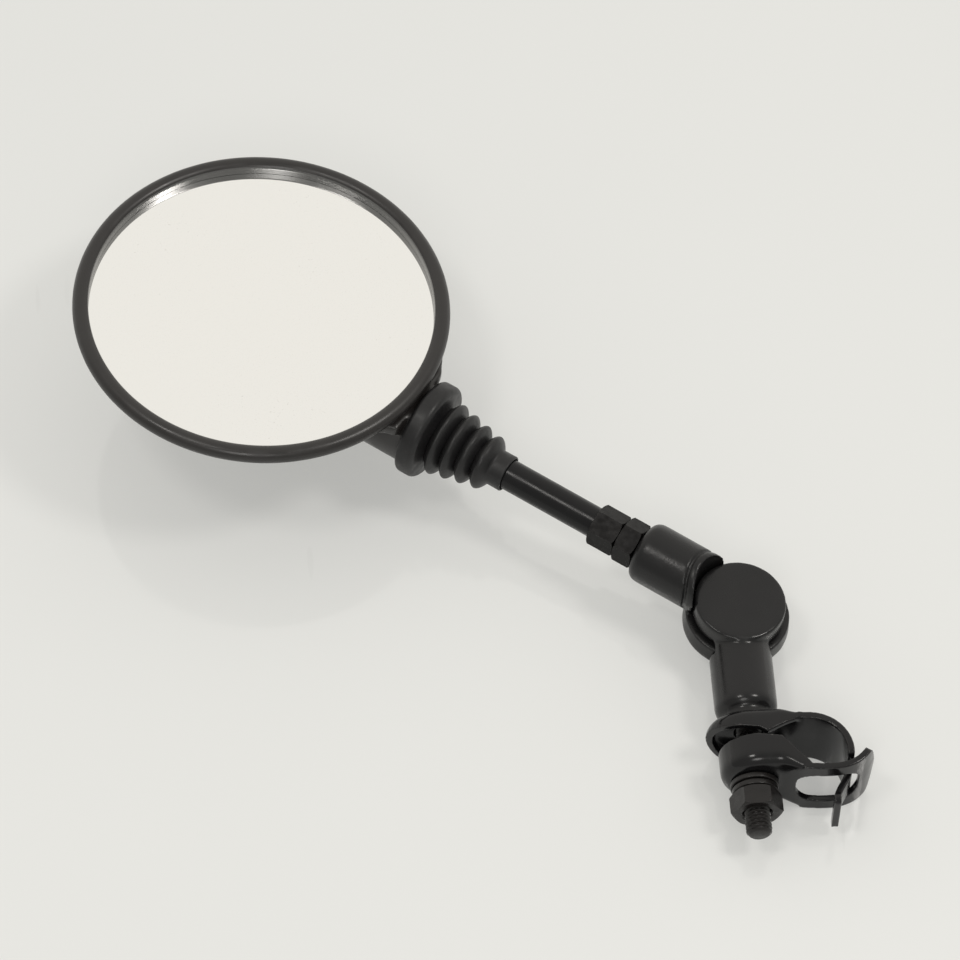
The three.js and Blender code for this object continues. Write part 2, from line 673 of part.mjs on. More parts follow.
// Plate that closes the socket: a spigot that carries the spring, a flange and two screw lugs.
function retainerPlate() {
  const spigot = rod("x", SOCKET_END - 2.2, SOCKET_END + 1, SOCKET_RADIUS - GAP);
  const flange = rod("x", SOCKET_END + GAP, SOCKET_END + 2.3, NECK_RADIUS - HOUSING_WALL - GAP);
  const above = rod("z", SOCKET_TOP - GAP, 30, 40);
  return spigot
    .add(flange)
    .add(screwPair(SOCKET_END + GAP, SOCKET_END + 2.3, 2.8))
    .subtract(above)
    .subtract(screwPair(SOCKET_END - 1, SOCKET_END + 5, 1.8));
}

function retainerScrew(side) {
  const seat = SOCKET_END + 2.3 + GAP;
  return turned("x", [
    [10, 0],
    [11.2, 1.5],
    [seat, 1.5],
    [seat, 2.4],
    [seat + 1.5, 2],
    [seat + 1.5, 0],
  ], 16).translate(0, side * SCREW.y, SCREW.z);
}

function foamPad() {
  const top = GLASS.top - GLASS.thickness - GAP;
  return rod("z", top - 1.5, top, 52.2, 60).translate(MIRROR_CENTRE, 0, 0);
}

function glass() {
  return rod("z", GLASS.top - GLASS.thickness, GLASS.top, GLASS.radius, 60).translate(MIRROR_CENTRE, 0, 0);
}

// Rounded ring that snaps over the glass and the rim of the housing.
function bezel() {
  const lip = GLASS.top + GAP;
  const bottom = HOUSING_RIM.z + GAP;
  return turned("z", [
    [bottom, GLASS.radius + 0.4],
    [bottom, BEAD.centre + 0.8],
    ...arc(BEAD.height, BEAD.centre, BEAD.radius, 125, -40, 9),
    [BEAD.height + 1.1, BEZEL_INNER],
    [lip, BEZEL_INNER],
    [lip, GLASS.radius + 0.4],
    [bottom, GLASS.radius + 0.4],
  ], 60).translate(MIRROR_CENTRE, 0, 0);
}

// ---- Assembly -------------------------------------------------------------------------------

const FINISHES = {
  gloss_black_steel: { color: 0x1b1a1c, roughness: 0.28, metalness: 0.3 },
  satin_black_casting: { color: 0x232225, roughness: 0.45, metalness: 0.3 },
  black_oxide: { color: 0x1d1b1b, roughness: 0.4, metalness: 0.7 },
  black_rubber: { color: 0x222124, roughness: 0.75, metalness: 0 },
  black_plastic: { color: 0x2b2829, roughness: 0.45, metalness: 0 },
  white_nylon: { color: 0xd8d5cc, roughness: 0.5, metalness: 0 },
  spring_steel: { color: 0x8c8c8f, roughness: 0.35, metalness: 0.9 },
  grey_foam: { color: 0x4a4a4c, roughness: 0.95, metalness: 0 },
  mirror_silver: { color: 0xeeeeee, roughness: 0.05, metalness: 1 },
};

function piece(name, body, finish) {
  const mesh = new THREE.Mesh(geometryOf(body), new THREE.MeshStandardMaterial(FINISHES[finish]));
  mesh.name = name;
  return mesh;
}

const washerFace = FRONT_TAB.y - GAP;
const springWasherFace = washerFace - 1.6 - GAP;
const nutFace = springWasherFace - 1.9 - GAP;

const mirror = new THREE.Group();
mirror.add(
  piece("clamp_rear_jaw", rearJaw(), "gloss_black_steel"),
  piece("clamp_front_jaw", frontJaw(), "gloss_black_steel"),
  piece("clamp_flat_washer", clampWasher(washerFace - 1.6, washerFace, 7.4), "black_oxide"),
  piece("clamp_spring_washer", clampSpringWasher(springWasherFace - 1.9, springWasherFace), "black_oxide"),
  piece("clamp_nut", clampNut(nutFace - 6.5, nutFace), "black_oxide"),
);

const arm = new THREE.Group();
arm.position.set(STUD_X, KNUCKLE_Y, 0);
arm.rotation.y = radians(SWIVEL_REST);
arm.add(
  piece("lower_arm", lowerArm(), "satin_black_casting"),
  piece("clamp_stud", clampStud(), "black_oxide"),
  piece("knuckle_bolt", knuckleBolt(), "black_oxide"),
  piece("knuckle_flat_washer", knuckleWasher(), "black_oxide"),
  piece("knuckle_spring_washer", knuckleSpringWasher(), "spring_steel"),
  piece("knuckle_friction_washer", knuckleFrictionWasher(), "white_nylon"),
);
mirror.add(arm);

const stem = new THREE.Group();
stem.position.set(0, 0, STEM_LIFT);
stem.rotation.z = radians(90 + BEND_REST);
stem.add(
  piece("upper_arm", upperArm(), "satin_black_casting"),
  piece("stem_stud", stemStud(), "black_oxide"),
  piece("stem_lock_nut", lockNut(), "black_oxide"),
  piece("stem_hex_sleeve", hexSleeve(), "black_oxide"),
  piece("stem_rod", stemRod(), "gloss_black_steel"),
  piece("ball_stud", ballStud(), "spring_steel"),
  piece("boot", boot(), "black_rubber"),
);
arm.add(stem);

const head = new THREE.Group();
head.position.set(BALL_CENTRE, 0, 0);
head.add(
  piece("head_housing", housing(), "black_plastic"),
  piece("ball_seat", ballSeat(), "white_nylon"),
  piece("ball_pressure_cup", pressureCup(), "white_nylon"),
  piece("ball_spring", ballSpring(), "spring_steel"),
  piece("spring_retainer_plate", retainerPlate(), "black_plastic"),
  piece("retainer_screw_left", retainerScrew(1), "spring_steel"),
  piece("retainer_screw_right", retainerScrew(-1), "spring_steel"),
  piece("glass_foam_pad", foamPad(), "grey_foam"),
  piece("mirror_glass", glass(), "mirror_silver"),
  piece("mirror_bezel", bezel(), "black_plastic"),
);
stem.add(head);

export default mirror;
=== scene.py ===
# The looks of a bicycle handlebar mirror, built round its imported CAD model. Metres.
import json
import math

import bmesh
import bpy
import numpy as np
from mathutils import Matrix, Vector


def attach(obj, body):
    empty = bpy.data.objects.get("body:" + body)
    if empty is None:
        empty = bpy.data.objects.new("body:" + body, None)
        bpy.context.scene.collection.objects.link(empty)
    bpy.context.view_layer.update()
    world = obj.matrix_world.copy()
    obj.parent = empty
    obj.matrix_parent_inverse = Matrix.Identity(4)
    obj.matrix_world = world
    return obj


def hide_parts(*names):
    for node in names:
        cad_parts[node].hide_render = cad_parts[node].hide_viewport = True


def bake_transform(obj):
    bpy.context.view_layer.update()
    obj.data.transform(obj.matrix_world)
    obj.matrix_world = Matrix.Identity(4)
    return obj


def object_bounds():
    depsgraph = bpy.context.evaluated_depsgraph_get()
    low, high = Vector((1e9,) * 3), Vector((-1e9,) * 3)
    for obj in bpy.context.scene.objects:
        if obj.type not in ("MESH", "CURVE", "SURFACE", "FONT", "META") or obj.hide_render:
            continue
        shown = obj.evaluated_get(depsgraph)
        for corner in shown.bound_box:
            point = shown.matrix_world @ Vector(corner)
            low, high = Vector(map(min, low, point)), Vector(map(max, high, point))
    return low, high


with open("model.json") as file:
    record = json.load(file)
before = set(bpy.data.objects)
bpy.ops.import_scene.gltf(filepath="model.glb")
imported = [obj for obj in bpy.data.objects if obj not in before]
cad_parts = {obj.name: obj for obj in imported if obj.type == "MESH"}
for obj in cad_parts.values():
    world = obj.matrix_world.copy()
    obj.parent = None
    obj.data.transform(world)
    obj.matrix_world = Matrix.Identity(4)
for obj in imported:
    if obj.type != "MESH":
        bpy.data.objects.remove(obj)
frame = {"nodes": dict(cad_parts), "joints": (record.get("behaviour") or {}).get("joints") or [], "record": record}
cad_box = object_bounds()
joints = {joint["name"]: joint for joint in frame["joints"]}

MM = 0.001
FINE = 144  # points round a turned piece
VERY_FINE = 288  # points round a nut, the bezel or the glass
BALL_TO_MIRROR = 54.7  # millimetres along the stem


# ---- Frames of the moving parts ---------------------------------------------------------------

def axes_frame(origin, along, side):
    """A frame whose X runs along, with Y close to side."""
    x = Vector(along).normalized()
    z = x.cross(Vector(side)).normalized()
    y = z.cross(x)
    frame_matrix = Matrix((x, y, z)).transposed().to_4x4()
    frame_matrix.translation = Vector(origin)
    return frame_matrix


normal = Vector(joints["knuckle_fold"]["axis"])
stem_along = Vector(joints["stem_turn"]["axis"])
ball = Vector(joints["head_pan"]["pos_m"])
stem_origin = Vector(joints["stem_turn"]["pos_m"])
knuckle = Vector(joints["knuckle_fold"]["pos_m"])
swivel = Vector(joints["arm_swivel"]["pos_m"])
mirror_centre = ball + stem_along * BALL_TO_MIRROR * MM

STEM = axes_frame(stem_origin, stem_along, normal.cross(stem_along))
FACE = axes_frame(mirror_centre, normal, stem_along)
KNUCKLE = axes_frame(knuckle, normal, Vector((0, 1, 0)))
STUD = axes_frame(Vector((swivel.x, 0, 0)), Vector((0, 1, 0)), Vector((0, 0, 1)))


# ---- Mesh making ------------------------------------------------------------------------------

def arc(along, radius, size, start, end, steps=8):
    """Points on an arc in a profile, as (along, radius) pairs; angles in degrees from the axis."""
    angles = [math.radians(start + (end - start) * i / steps) for i in range(steps + 1)]
    return [(along + size * math.cos(a), radius + size * math.sin(a)) for a in angles]


def add_object(name, mesh):
    obj = bpy.data.objects.new(name, mesh)
    bpy.context.scene.collection.objects.link(obj)
    return obj


def smooth(mesh, sharp_above=35):
    mesh.polygons.foreach_set("use_smooth", [True] * len(mesh.polygons))
    mesh.set_sharp_from_angle(angle=math.radians(sharp_above))


def turned(name, place, profile, closed=False, count=FINE, shape=None, sharp_above=35):
    """A profile of (along, radius) pairs in millimetres, turned about the X axis of a frame.
    shape(along, radius, angle) may change the radius round the turn."""
    mesh = bpy.data.meshes.new(name)
    work = bmesh.new()
    rings = []
    for along, radius in profile:
        if radius < 1e-6:
            rings.append([work.verts.new(place @ Vector((along * MM, 0, 0)))])
            continue
        ring = []
        for i in range(count):
            angle = 2 * math.pi * i / count
            size = shape(along, radius, angle) if shape else radius
            local = Vector((along, size * math.cos(angle), size * math.sin(angle))) * MM
            ring.append(work.verts.new(place @ local))
        rings.append(ring)
    pairs = list(zip(rings, rings[1:]))
    if closed:
        pairs.append((rings[-1], rings[0]))
    for a, b in pairs:
        for i in range(count):
            j = (i + 1) % count
            corners = [a[i % len(a)], a[j % len(a)], b[j % len(b)], b[i % len(b)]]
            unique = list(dict.fromkeys(corners))
            if len(unique) > 2:
                work.faces.new(unique)
    bmesh.ops.recalc_face_normals(work, faces=work.faces)
    work.to_mesh(mesh)
    work.free()
    smooth(mesh, sharp_above)
    return add_object(name, mesh)


def hexagon_shape(flats, round_below):
    """Holds a radius inside a hexagon of that size across its flats, but leaves a small radius,
    such as a bore's, round."""
    def shape(along, radius, angle):
        if radius <= round_below:
            return radius
        sector = (angle + math.pi / 6) % (math.pi / 3) - math.pi / 6
        return min(radius, flats / 2 / math.cos(sector))
    return shape


def chamfered(start, end, corner, bore, drop=0.5, steps=10):
    """Profile of a nut or bolt head: chamfered at both ends, with a countersunk bore if it has
    one. The chamfer reaches drop along the axis."""
    slope = [i / steps for i in range(steps + 1)]
    low = [(start + drop * t ** 1.6, corner - 1.75 * drop * (1 - t)) for t in slope]
    high = [(end - drop * t ** 1.6, corner - 1.75 * drop * (1 - t)) for t in reversed(slope)]
    body = [(start + drop + (end - start - 2 * drop) * i / 6, corner) for i in range(1, 6)]
    if not bore:
        return [(start, 0), *low, *body, *high, (end, 0)]
    inside = [(end, bore + 0.6), (end - 0.6, bore), (start + 0.6, bore), (start, bore + 0.6)]
    return [*low, *body, *high, *inside]


def corner_radius(flats):
    """From the middle of a hexagon to its corners, for that size across its flats."""
    return flats / math.sqrt(3)


def nut(name, place, span, flats, bore, drop=0.5):
    """A hexagon nut from span[0] to span[1], whose chamfers and bore are round."""
    return turned(
        name, place, chamfered(*span, corner_radius(flats), bore, drop), closed=True,
        count=VERY_FINE, shape=hexagon_shape(flats, bore + 0.9), sharp_above=20,
    )


def washer(name, place, start, end, bore, outer, soft=0.25):
    """A flat ring with softened edges."""
    profile = [
        *arc(start + soft, outer - soft, soft, 180, 90, 4),
        *arc(end - soft, outer - soft, soft, 90, 0, 4),
        *arc(end - soft / 2, bore + soft / 2, soft / 2, 0, -90, 2),
        *arc(start + soft / 2, bore + soft / 2, soft / 2, -90, -180, 2),
    ]
    return turned(name, place, profile, closed=True)


def spring_washer(name, place, start, end, bore, outer, rise=0.16, opening=5.0, cut_at=200):
    """A split ring whose ends stand a little apart along the axis."""
    mesh = bpy.data.meshes.new(name)
    work = bmesh.new()
    soft = 0.28
    outline = [
        *arc(end - soft, outer - soft, soft, 90, 0, 3),
        *arc(end - soft, bore + soft, soft, 0, -90, 3),
        *arc(start + soft, bore + soft, soft, -90, -180, 3),
        *arc(start + soft, outer - soft, soft, 180, 90, 3),
    ]
    rings = []
    for i in range(FINE + 1):
        share = i / FINE
        angle = math.radians(cut_at + opening / 2 + (360 - opening) * share)
        shift = rise * (share - 0.5)
        rings.append([
            work.verts.new(place @ (Vector((a + shift, r * math.cos(angle), r * math.sin(angle))) * MM))
            for a, r in outline
        ])
    for a, b in zip(rings, rings[1:]):
        for i in range(len(outline)):
            j = (i + 1) % len(outline)
            work.faces.new((a[i], a[j], b[j], b[i]))
    work.faces.new(rings[0])
    work.faces.new(rings[-1])
    bmesh.ops.recalc_face_normals(work, faces=work.faces)
    work.to_mesh(mesh)
    work.free()
    smooth(mesh)
    return add_object(name, mesh)


def thread_shape(pitch, depth):
    """Cuts a helical thread into a radius."""
    def shape(along, radius, angle):
        turn = (along / pitch - angle / (2 * math.pi)) % 1
        groove = 1 - abs(2 * turn - 1)
        return radius - depth * min(1.0, max(0.0, groove * 1.35 - 0.15))
    return shape


def softened(name, node, voxel, face_steps, edge_steps):
    """A fine copy of a CAD node whose facets are smoothed away and whose edges are slightly
    rounded: flat and curved faces get face_steps of smoothing, and edges edge_steps."""
    obj = add_object(name, frame["nodes"][node].data.copy())
    remesh = obj.modifiers.new("remesh", "REMESH")
    remesh.mode = "VOXEL"
    remesh.voxel_size = voxel * MM
    graph = bpy.context.evaluated_depsgraph_get()
    fine = bpy.data.meshes.new_from_object(obj.evaluated_get(graph))
    obj.modifiers.clear()
    obj.data = fine
    fine.name = name
    points = np.empty(len(fine.vertices) * 3)
    fine.vertices.foreach_get("co", points)
    points = points.reshape(-1, 3)
    edges = np.empty(len(fine.edges) * 2, int)
    fine.edges.foreach_get("vertices", edges)
    a, b = edges.reshape(-1, 2).T
    count = np.bincount(a, minlength=len(points)) + np.bincount(b, minlength=len(points))

    def neighbour_mean(values):
        total = np.zeros_like(values)
        np.add.at(total, a, values[b])
        np.add.at(total, b, values[a])
        return total / count[:, None]

    normals = np.empty(len(points) * 3)
    fine.vertices.foreach_get("normal", normals)
    normals = normals.reshape(-1, 3)
    spread = normals
    for _ in range(3):
        spread = (spread + neighbour_mean(spread)) / 2
    edge = 1 - np.linalg.norm(spread, axis=1)
    flat = np.clip(1 - (edge - 0.012) / 0.03, 0, 1)[:, None]
    for _ in range(2):
        flat = np.minimum(flat, neighbour_mean(flat))
    for _ in range(face_steps):
        points += 0.6 * flat * (neighbour_mean(points) - points)
    for _ in range(edge_steps):
        points += 0.5 * (neighbour_mean(points) - points)
    fine.vertices.foreach_set("co", points.ravel())
    fine.update()
    smooth(fine, 180)
    return obj


# ---- Materials --------------------------------------------------------------------------------

class Graph:
    """Short ways to add shader nodes to one material."""

    def __init__(self, name):
        self.material = bpy.data.materials.new(name)
        self.material.use_nodes = True
        self.tree = self.material.node_tree
        self.shader = self.tree.nodes["Principled BSDF"]
        self.place = self.add("ShaderNodeTexCoord").outputs["Object"]

    def add(self, kind, **values):
        node = self.tree.nodes.new(kind)
        for key, value in values.items():
            setattr(node, key, value)
        return node

    def join(self, output, target):
        self.tree.links.new(output, target)

    def noise(self, size_mm, detail=3.0, stretch=(1, 1, 1)):
        """Smooth noise with features of about that size, from 0 to 1."""
        mapping = self.add("ShaderNodeMapping")
        mapping.inputs["Scale"].default_value = stretch
        self.join(self.place, mapping.inputs["Vector"])
        node = self.add("ShaderNodeTexNoise")
        node.inputs["Scale"].default_value = 1000 / size_mm
        node.inputs["Detail"].default_value = detail
        self.join(mapping.outputs[0], node.inputs["Vector"])
        return node.outputs["Fac"]

    def cells(self, size_mm):
        """Distance to the nearest of many scattered points."""
        node = self.add("ShaderNodeTexVoronoi", feature="SMOOTH_F1")
        node.inputs["Scale"].default_value = 1000 / size_mm
        self.join(self.place, node.inputs["Vector"])
        return node.outputs["Distance"]

    def ramp(self, value, low, high, start=0.0, end=1.0):
        """Maps low..high to start..end, smoothly."""
        node = self.add("ShaderNodeMapRange", interpolation_type="SMOOTHSTEP")
        for key, number in (("From Min", low), ("From Max", high), ("To Min", start), ("To Max", end)):
            node.inputs[key].default_value = number
        self.join(value, node.inputs["Value"])
        return node.outputs["Result"]

    def times(self, a, b):
        node = self.add("ShaderNodeMath", operation="MULTIPLY")
        self.join(a, node.inputs[0])
        self.join(b, node.inputs[1])
        return node.outputs[0]

    def mix(self, factor, a, b):
        """A colour between a and b; either is a colour or an output."""
        node = self.add("ShaderNodeMix", data_type="RGBA")
        self.join(factor, node.inputs["Factor"])
        for value, socket in ((a, node.inputs[6]), (b, node.inputs[7])):
            if isinstance(value, tuple):
                socket.default_value = (*value, 1)
            else:
                self.join(value, socket)
        return node.outputs[2]

    def edges(self, low=0.52, high=0.6):
        """1 on convex edges of the mesh, 0 elsewhere."""
        geometry = self.add("ShaderNodeNewGeometry")
        return self.ramp(geometry.outputs["Pointiness"], low, high)

    def bump(self, height, strength, distance_mm):
        node = self.add("ShaderNodeBump")
        node.inputs["Strength"].default_value = strength
        node.inputs["Distance"].default_value = distance_mm * MM
        self.join(height, node.inputs["Height"])
        last = self.shader.inputs["Normal"].links
        if last:
            self.join(last[0].from_socket, node.inputs["Normal"])
        self.join(node.outputs["Normal"], self.shader.inputs["Normal"])

    def colour(self, output):
        self.join(output, self.shader.inputs["Base Color"])

    def roughness(self, output):
        self.join(output, self.shader.inputs["Roughness"])

    def metal(self, amount):
        self.shader.inputs["Metallic"].default_value = amount

    def reflection(self, amount):
        """How strongly the surface reflects: 0.5 is plain paint."""
        self.shader.inputs["Specular IOR Level"].default_value = amount


def painted_steel(name="gloss_black_steel", edge_wear_and_sheen=True, gloss=(0.13, 0.26), reflection=0.36):
    """Gloss black coat on steel, thin along sheared edges, which are painted paler as rubbed paint and painted
    sheen.
    """
    g = Graph(name)
    tone = g.mix(g.noise(9), (0.004, 0.0038, 0.0043), (0.0075, 0.0072, 0.0077))
    if edge_wear_and_sheen:
        # Paler edges: partly rubbed paint, partly a painted sheen standing for the bright room reflected on the
        # edges.
        wear_and_sheen = g.times(g.edges(0.515, 0.585), g.ramp(g.noise(2.5), 0.35, 0.6))
        tone = g.mix(wear_and_sheen, tone, (0.06, 0.057, 0.055))
    g.colour(tone)
    g.roughness(g.ramp(g.noise(6, 5), 0.3, 0.75, *gloss))
    g.bump(g.noise(1.6, 2), 0.12, 0.05)
    g.bump(g.noise(7, 1), 0.2, 0.1)
    g.reflection(reflection)
    return g.material


def satin_casting():
    """Satin black paint on the smooth cast arm, with faint flow marks and edges painted paler as rubbed paint and
    painted sheen.
    """
    g = Graph("satin_black_casting")
    tone = g.mix(g.noise(12, 4), (0.006, 0.0058, 0.0062), (0.011, 0.0105, 0.011))
    # Paler edges: partly rubbed paint, partly a painted sheen standing for the bright room reflected on the edges.
    wear_and_sheen = g.times(g.edges(0.52, 0.6), g.ramp(g.noise(2), 0.45, 0.65))
    g.colour(g.mix(wear_and_sheen, tone, (0.06, 0.058, 0.056)))
    g.roughness(g.ramp(g.noise(5, 5), 0.3, 0.7, 0.18, 0.3))
    g.bump(g.noise(0.7, 3), 0.08, 0.04)
    g.bump(g.noise(6, 2, (1, 0.25, 1)), 0.16, 0.1)
    g.reflection(0.36)
    return g.material


def hammered_casting():
    """Gloss black paint over the dimpled surface of the upper casting."""
    g = Graph("hammered_black_casting")
    tone = g.mix(g.noise(10, 4), (0.005, 0.0048, 0.0052), (0.009, 0.0086, 0.009))
    g.colour(tone)
    g.roughness(g.ramp(g.noise(4, 4), 0.3, 0.7, 0.27, 0.34))
    g.bump(g.cells(0.9), 0.3, 0.08)
    g.bump(g.noise(0.5, 2), 0.3, 0.05)
    g.reflection(0.36)
    return g.material


def blackened_steel(name="black_oxide", reflection=0.36, depth=1.0):
    """Black oxide on machined steel: slightly brown, with turning marks."""
    g = Graph(name)
    low, high = ((r * depth, r * 0.87 * depth, r * 0.84 * depth) for r in (0.0062, 0.0155))
    tone = g.mix(g.noise(3, 5), low, high)
    g.colour(tone)
    g.roughness(g.ramp(g.noise(2, 5), 0.3, 0.75, 0.26, 0.44))
    g.bump(g.noise(0.5, 3), 0.15, 0.04)
    g.metal(0.05)
    g.reflection(reflection)
    return g.material


def rubber():
    """Matte dark rubber with a fine moulded grain and a little dust on the ribs."""
    g = Graph("black_rubber")
    tone = g.mix(g.noise(8, 4), (0.0065, 0.0063, 0.0068), (0.0115, 0.011, 0.0115))
    dust = g.ramp(g.noise(1.2, 6), 0.55, 0.8, 0, 0.45)
    g.colour(g.mix(dust, tone, (0.026, 0.0255, 0.0255)))
    g.roughness(g.ramp(g.noise(3, 5), 0.3, 0.7, 0.36, 0.5))
    g.reflection(0.4)
    g.bump(g.noise(0.35, 4), 0.2, 0.04)
    g.bump(g.noise(4, 2), 0.15, 0.1)
    return g.material


def moulded_plastic():
    """Black moulded plastic with a fine grain and small scuffs."""
    g = Graph("black_plastic")
    scuffs = g.ramp(g.noise(1.4, 2, (1, 14, 6)), 0.66, 0.72)
    tone = g.mix(g.noise(14, 4), (0.013, 0.0115, 0.011), (0.021, 0.0185, 0.0175))
    g.colour(g.mix(g.times(scuffs, g.ramp(g.noise(11), 0.5, 0.7)), tone, (0.05, 0.046, 0.044)))
    g.roughness(g.ramp(g.noise(6, 6), 0.3, 0.75, 0.28, 0.42))
    g.bump(g.noise(0.6, 3), 0.08, 0.02)
    g.bump(g.noise(6, 2), 0.12, 0.08)
    return g.material


def polished_plastic():
    """The wall inside the bezel, polished by its mould, duller in patches."""
    g = Graph("polished_black_plastic")
    g.colour(g.mix(g.noise(14, 4), (0.013, 0.0115, 0.011), (0.021, 0.0185, 0.0175)))
    g.roughness(g.ramp(g.noise(9, 4), 0.3, 0.75, 0.22, 0.3))
    g.reflection(1.0)
    g.shader.inputs["IOR"].default_value = 1.85
    return g.material


def mirror_silver():
    """Silvered glass with hairline scratches and a few specks of dust."""
    g = Graph("mirror_silver")
    lines = g.ramp(g.noise(1.1, 1, (1, 26, 26)), 0.71, 0.75)
    crossed = g.ramp(g.noise(1.3, 1, (30, 2, 30)), 0.73, 0.76)
    patches = g.ramp(g.noise(26, 3), 0.5, 0.7)
    marks = g.times(patches, g.ramp(g.noise(0.9, 2), 0.68, 0.74))
    tone = g.mix(lines, (0.93, 0.925, 0.91), (0.72, 0.715, 0.7))
    tone = g.mix(crossed, tone, (0.76, 0.755, 0.74))
    g.colour(g.mix(marks, tone, (0.8, 0.79, 0.77)))
    g.roughness(g.ramp(g.noise(30, 3), 0.3, 0.8, 0.015, 0.05))
    g.metal(1)
    return g.material


def nylon():
    g = Graph("white_nylon")
    g.colour(g.mix(g.noise(5, 4), (0.66, 0.64, 0.58), (0.74, 0.72, 0.67)))
    g.roughness(g.ramp(g.noise(2, 4), 0.3, 0.7, 0.42, 0.58))
    g.bump(g.noise(0.5, 3), 0.15, 0.03)
    return g.material


def bright_steel():
    g = Graph("spring_steel")
    g.colour(g.mix(g.noise(2, 5), (0.4, 0.4, 0.41), (0.56, 0.56, 0.57)))
    g.roughness(g.ramp(g.noise(1.5, 5), 0.3, 0.75, 0.22, 0.4))
    g.bump(g.noise(0.6, 3, (1, 6, 6)), 0.1, 0.03)
    g.metal(0.95)
    return g.material


def foam():
    g = Graph("grey_foam")
    g.colour(g.mix(g.cells(0.9), (0.2, 0.2, 0.21), (0.3, 0.3, 0.31)))
    g.roughness(g.ramp(g.noise(1, 4), 0.3, 0.7, 0.85, 0.98))
    g.bump(g.cells(0.8), 0.5, 0.2)
    return g.material


def table_top():
    """Pale laminate with a soft gloss and very faint marks; a weak glow stands for the light that
    the rest of the room throws on it."""
    g = Graph("table")
    tone = g.mix(g.noise(220, 3), (0.42, 0.423, 0.417), (0.446, 0.449, 0.443))
    scratches = g.ramp(g.noise(7, 1, (1, 0.12, 1)), 0.74, 0.77, 0, 0.35)
    patches = g.times(scratches, g.ramp(g.noise(120), 0.5, 0.62))
    g.colour(g.mix(patches, tone, (0.37, 0.372, 0.366)))
    g.roughness(g.ramp(g.noise(60, 5), 0.3, 0.75, 0.07, 0.13))
    g.shader.inputs["Emission Color"].default_value = (1.0, 1.0, 0.965, 1)
    g.shader.inputs["Emission Strength"].default_value = 0.315
    return g.material


materials = {
    "gloss_black_steel": painted_steel(),
    "gloss_black_rod": painted_steel("gloss_black_rod", edge_wear_and_sheen=False, gloss=(0.2, 0.3), reflection=0.26),
    "satin_black_casting": satin_casting(),
    "hammered_black_casting": hammered_casting(),
    "black_oxide": blackened_steel(),
    "dark_black_oxide": blackened_steel("dark_black_oxide", reflection=0.12, depth=0.4),
    "black_rubber": rubber(),
    "black_plastic": moulded_plastic(),
    "polished_black_plastic": polished_plastic(),
    "white_nylon": nylon(),
    "spring_steel": bright_steel(),
    "grey_foam": foam(),
    "mirror_silver": mirror_silver(),
}
slots = {part["node"]: part["material_slot"] for part in frame["record"]["subparts"]}
body_of_node = {
    node: body for body, members in frame["record"]["behaviour"]["bodies"].items() for node in members
}


def dress(obj, material):
    obj.data.materials.clear()
    obj.data.materials.append(materials[material])


def stands_for(obj, node, material=None):
    """Shows a detailed piece in place of a CAD node, on the same body."""
    dress(obj, material or slots[node])
    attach(obj, body_of_node[node])
    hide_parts(node)
    return obj


# ---- Clamp ------------------------------------------------------------------------------------
# Places along the clamp's stud, and radii, in millimetres.

CLAMP_NUT = (-14.5, -8.0)
STUD_SPAN = (-21.7, 32.7)
STUD_THREADED_TO = 20.0
STUD_RADIUS = 4.0
STUD_BORE = 4.3  # of what sits on the stud
THREAD_PITCH = 1.25
THREAD_STEP = 0.11  # between the rings of a threaded mesh


def clamp():
    for side in ("rear", "front"):
        node = f"clamp_{side}_jaw"
        stands_for(softened(f"{side}_jaw_pressing", node, 0.26, 22, 2), node)
    stands_for(washer("flat_washer_turned", STUD, -5.5, -3.9, STUD_BORE, 7.4), "clamp_flat_washer")
    coiled = spring_washer("spring_washer_coiled", STUD, -7.62, -5.88, STUD_BORE, 7.0)
    stands_for(coiled, "clamp_spring_washer")
    stands_for(nut("clamp_nut_hexagon", STUD, CLAMP_NUT, 14, STUD_BORE, 0.75), "clamp_nut")
    stands_for(clamp_stud(), "clamp_stud")


def clamp_stud():
    """Threaded over the part that passes through the jaws and into the arm."""
    end, far = STUD_SPAN
    count = int((STUD_THREADED_TO - end - 1.0) / THREAD_STEP)
    thread = [(end + 1.0 + THREAD_STEP * i, STUD_RADIUS) for i in range(count + 1)]
    cut = thread_shape(THREAD_PITCH, 0.62)

    def shape(along, radius, angle):
        if radius < 3.1 or along > STUD_THREADED_TO - 0.2:
            return radius
        return min(radius, cut(along, STUD_RADIUS, angle))

    start = [
        (end, 0), (end, 2.75), (end + 0.12, 3.0), (end + 0.35, 3.3), (end + 0.6, 3.6),
        (end + 0.8, 3.8),
    ]
    finish = [(STUD_THREADED_TO + 0.5, STUD_RADIUS), (far, STUD_RADIUS), (far, 0)]
    return turned("clamp_stud_threaded", STUD, [*start, *thread, *finish], count=96, shape=shape)


# ---- Arm and stem -----------------------------------------------------------------------------

